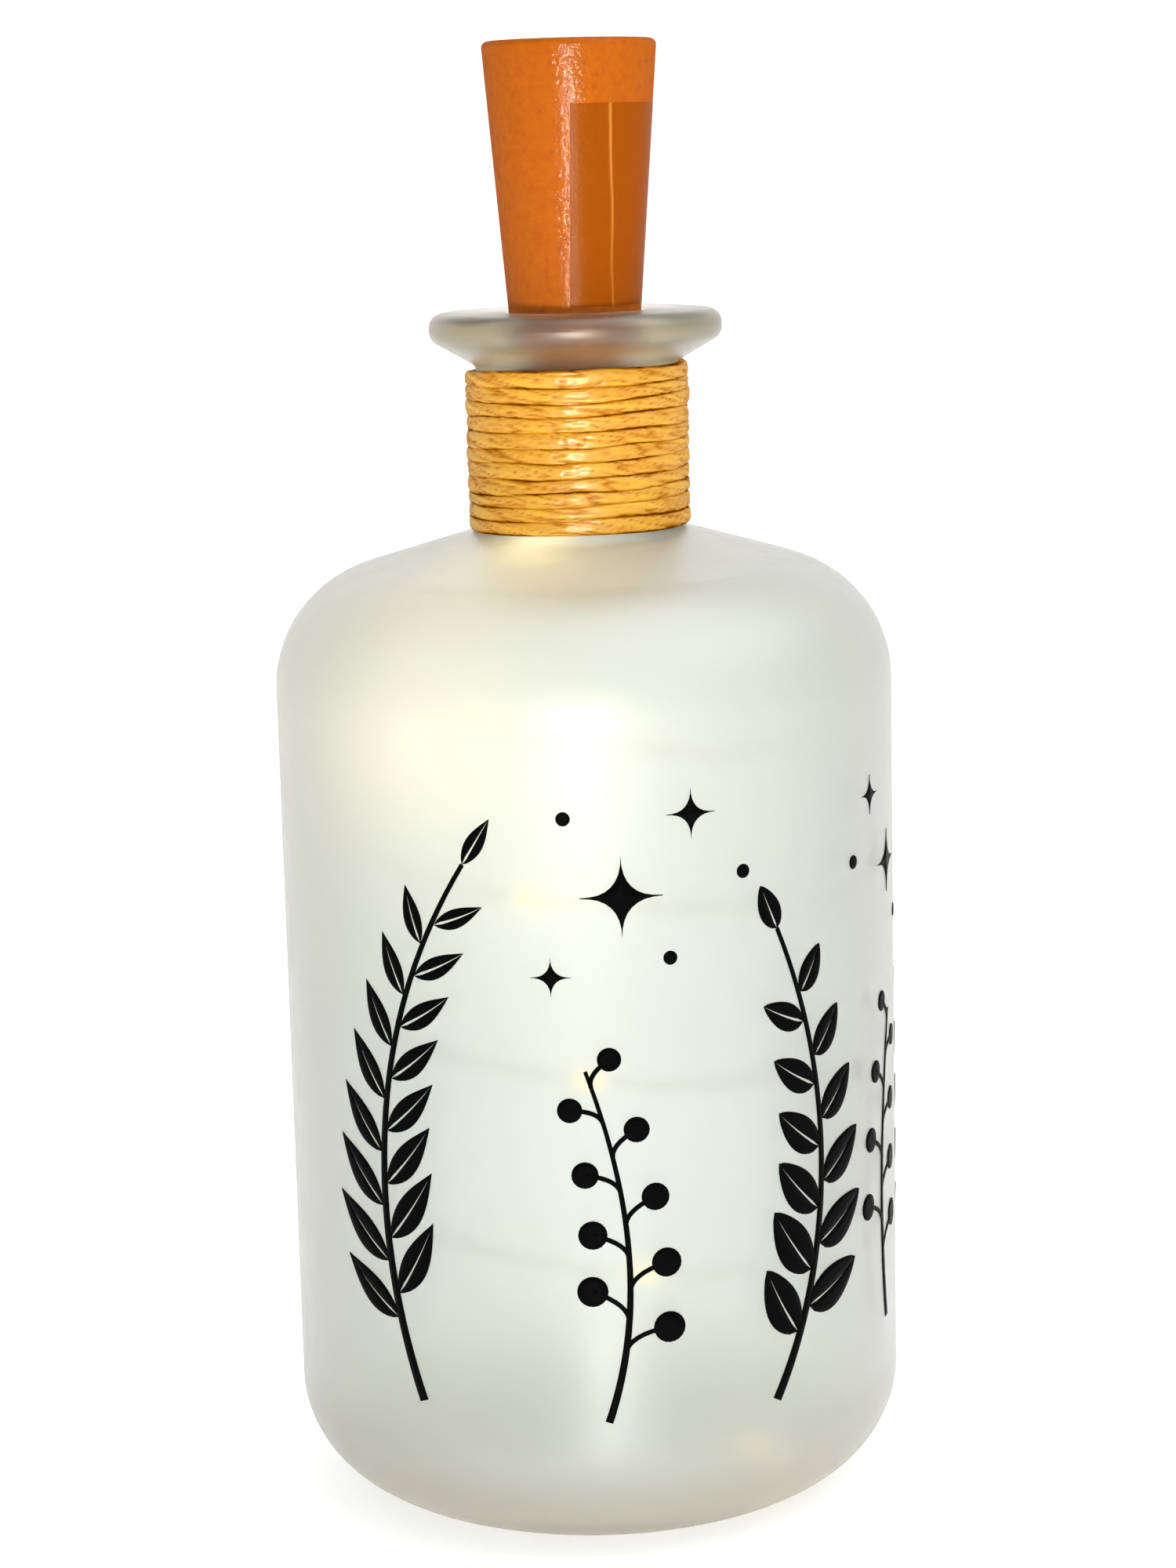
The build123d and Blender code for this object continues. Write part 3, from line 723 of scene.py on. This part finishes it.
def make_sweep():
    """Pale paper floor that curves up into a wall behind."""
    half_width, front, bend, rise = 4.0, -4.0, 0.7, 2.5
    wall = 1.6
    profile = [(front, 0.0), (wall - bend, 0.0)]
    for i in range(1, 17):
        a = pi / 2 * i / 16
        profile.append((wall - bend + bend * sin(a), bend - bend * cos(a)))
    profile.append((wall, rise))
    vertices = [(x, y, z) for y, z in profile for x in (-half_width, half_width)]
    faces = [(2 * i, 2 * i + 1, 2 * i + 3, 2 * i + 2) for i in range(len(profile) - 1)]
    sweep = add_mesh("floor", vertices, faces)
    m = Material("floor_paper", (0.9, 0.9, 0.89), 0.85)
    m.set("Emission Color", (1, 1, 1, 1))
    m.set("Emission Strength", 0.50)
    tooth = m.texture(900, 3)
    m.bump(tooth, 0.0001, 0.1)
    sweep.data.materials.append(m.material)


def make_stage():
    scene.view_settings.view_transform = "Standard"
    world = bpy.data.worlds.new("studio")
    scene.world = world
    world.use_nodes = True
    background = world.node_tree.nodes["Background"]
    background.inputs["Color"].default_value = (0.98, 0.98, 1.0, 1)
    tree = world.node_tree
    direction = tree.nodes.new("ShaderNodeTexCoord")
    parts = tree.nodes.new("ShaderNodeSeparateXYZ")
    tree.links.new(direction.outputs["Generated"], parts.inputs["Vector"])
    room = tree.nodes.new("ShaderNodeMapRange")
    set_range(room, -0.9, 0.2, 0.43, 0.59)
    tree.links.new(parts.outputs["Y"], room.inputs["Value"])
    tree.links.new(room.outputs["Result"], background.inputs["Strength"])
    make_sweep()
    # One lamp by the camera, with a narrow warm beam of its own on the stopper and the neck
    lamp_place, lamp_size = (-0.01, -0.50, 0.105), (0.07, 0.04)
    area_light("front_lamp", lamp_place, (0, 0, 0.11), lamp_size, 0.42)
    neck_lamp = area_light("neck_lamp", lamp_place, (0, 0, 0.168), lamp_size, 0.026, (1.0, 0.95, 0.74))
    neck_lamp.data.spread = radians(22)
    area_light("top_lamp", (0.24, -0.06, 0.55), (0.01, 0, 0.11), (0.6, 0.6), 1.5)
    area_light("low_card", (0.006, -0.10, 0.004), (0.004, 0, 0.02), (0.02, 0.006), 0.0105)


make_camera()
make_stage()

leds = led_centres()
line = string_line()
wires = string_wires(line)
wires.data.materials.append(
    plain("copper_wire", (0.88, 0.68, 0.52), 0.3, 900, 0.00001, Metallic=1.0)
)
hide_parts("string_lead", "string_coil")
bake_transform(wires)

twine = wound_twine()
twine.data.materials.append(paper_twine())
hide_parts("neck_twine")
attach(twine, "bottle")

design = glass_design()
design.data.materials.append(black_vinyl())
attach(design, "bottle")

film = cork_film()
film.data.materials.append(stopper_film())
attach(film, "shell")

dress(frosted_glass(leds), "bottle")
dress(cork_plastic(), "cork_shell")
dress(plain("white_plastic", (0.46, 0.45, 0.42), 0.4, 700, 0.00002), "battery_carrier")
dress(
    plain("cell_steel", (0.68, 0.68, 0.66), 0.26, 500, 0.00001, Metallic=1.0),
    "lower_cell",
    "middle_cell",
    "upper_cell",
    "cell_caps",
)
dress(plain("gasket_nylon", (0.08, 0.24, 0.15), 0.5, 900, 0.00001), "cell_gaskets")
dress(
    plain("contact_metal", (0.75, 0.73, 0.68), 0.3, 800, 0.00001, Metallic=1.0),
    "positive_contact",
    "negative_contact",
)
dress(plain("spring_steel", (0.62, 0.62, 0.62), 0.28, 900, 0.00001, Metallic=1.0), "negative_spring")
dress(plain("board_laminate", (0.03, 0.16, 0.06), 0.42, 800, 0.00002), "circuit_board")
dress(plain("resistor_black", (0.03, 0.03, 0.03), 0.4, 1500, 0.00001), "chip_resistor")
dress(plain("switch_metal", (0.66, 0.66, 0.65), 0.3, 900, 0.00001, Metallic=1.0), "switch_case")
dress(plain("slider_black", (0.025, 0.025, 0.027), 0.42, 1400, 0.00002), "switch_slider")
dress(plain("lead_red", (0.42, 0.02, 0.015), 0.4, 1200, 0.00001), "positive_lead")
dress(plain("lead_black", (0.02, 0.02, 0.022), 0.4, 1200, 0.00001), "negative_lead")
dress(plain("grommet_rubber", (0.48, 0.47, 0.44), 0.62, 1200, 0.00002), "wire_grommet")
dress(glowing("led_resin", (1.0, 0.78, 0.38), 0.9), "lead_drop", "led_drops", "end_drop")
dress(glowing("led_chip", (1.0, 0.86, 0.5), 3.0), "lead_chip", "led_chips")
